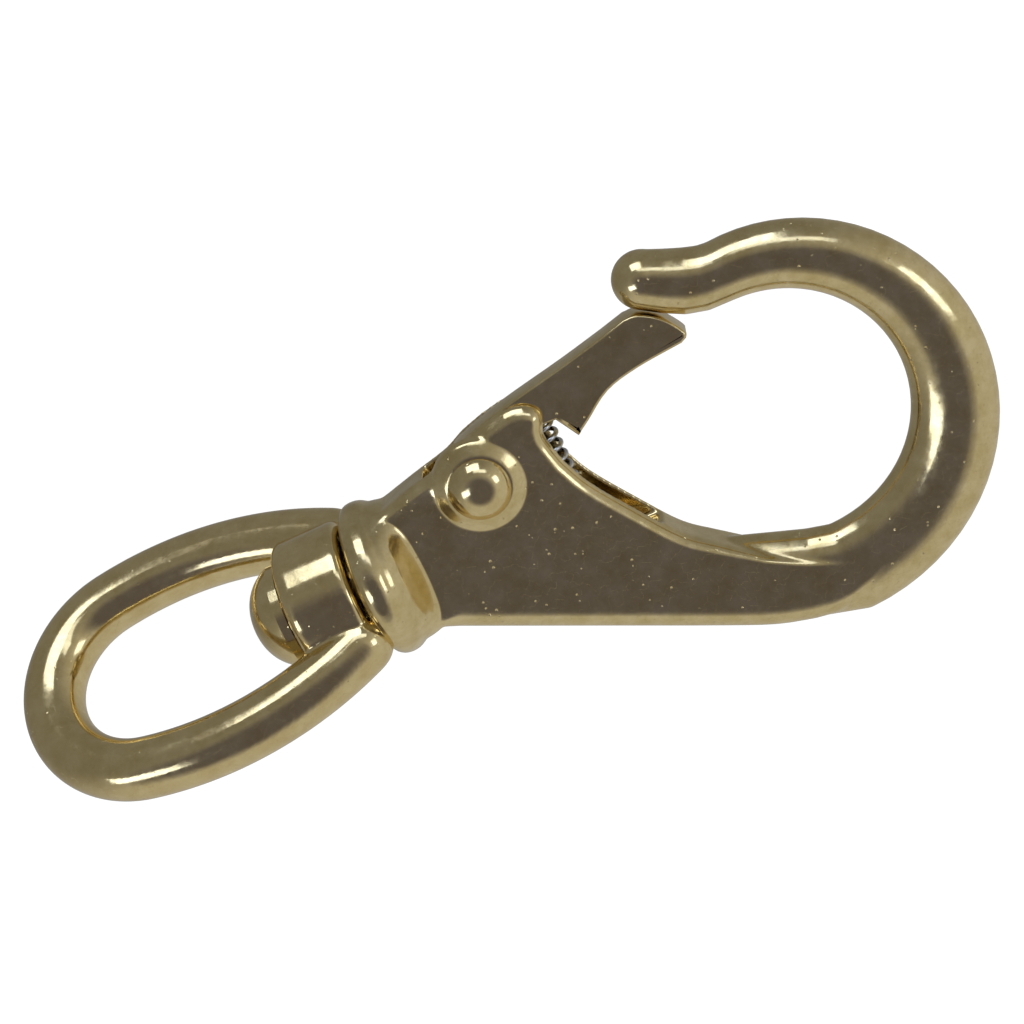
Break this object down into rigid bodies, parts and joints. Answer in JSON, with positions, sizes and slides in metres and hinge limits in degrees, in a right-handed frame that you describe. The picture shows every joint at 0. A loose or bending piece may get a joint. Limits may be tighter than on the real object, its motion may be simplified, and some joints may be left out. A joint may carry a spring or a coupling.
{
  "type": "swivel eye boat snap hook",
  "caption": "Brass boat snap with a swivelling bail eye, a riveted inward-opening spring gate between two cheeks, and a round tapering bow.",
  "frame": {"origin": "middle of the eye's opening, on the swivel axis", "axes": "+X along the swivel axis from the eye to the bow, +Y from the hook's belly to its gate, +Z square to the flat side of the hook"},
  "size_m": [0.1037, 0.0436, 0.024],
  "materials": {
    "cast_brass": "polished casting",
    "eye_brass": "polished",
    "pin_brass": "polished",
    "gate_brass": "polished",
    "rivet_brass": "polished",
    "spring_steel": "bright wire"
  },
  "bodies": {
    "hook": {"hook_body": "cast_brass", "swivel_pin": "pin_brass", "gate_pin": "rivet_brass", "gate_spring": "spring_steel"},
    "eye": {"swivel_eye": "eye_brass"},
    "gate": {"gate": "gate_brass"}
  },
  "joints": [
    {"name": "eye_swivel", "type": "hinge", "parent": "hook", "child": "eye", "pos_m": [0.015, 0, 0], "axis": [1, 0, 0], "continuous": true},
    {"name": "gate_pivot", "type": "hinge", "parent": "hook", "child": "gate", "pos_m": [0.0343, 0.0057, 0], "axis": [0, 0, -1], "range_deg": [0, 34], "stiffness_Nm_per_rad": 0.08, "springref_deg": -57.3, "deforming": ["gate_spring"]}
  ]
}
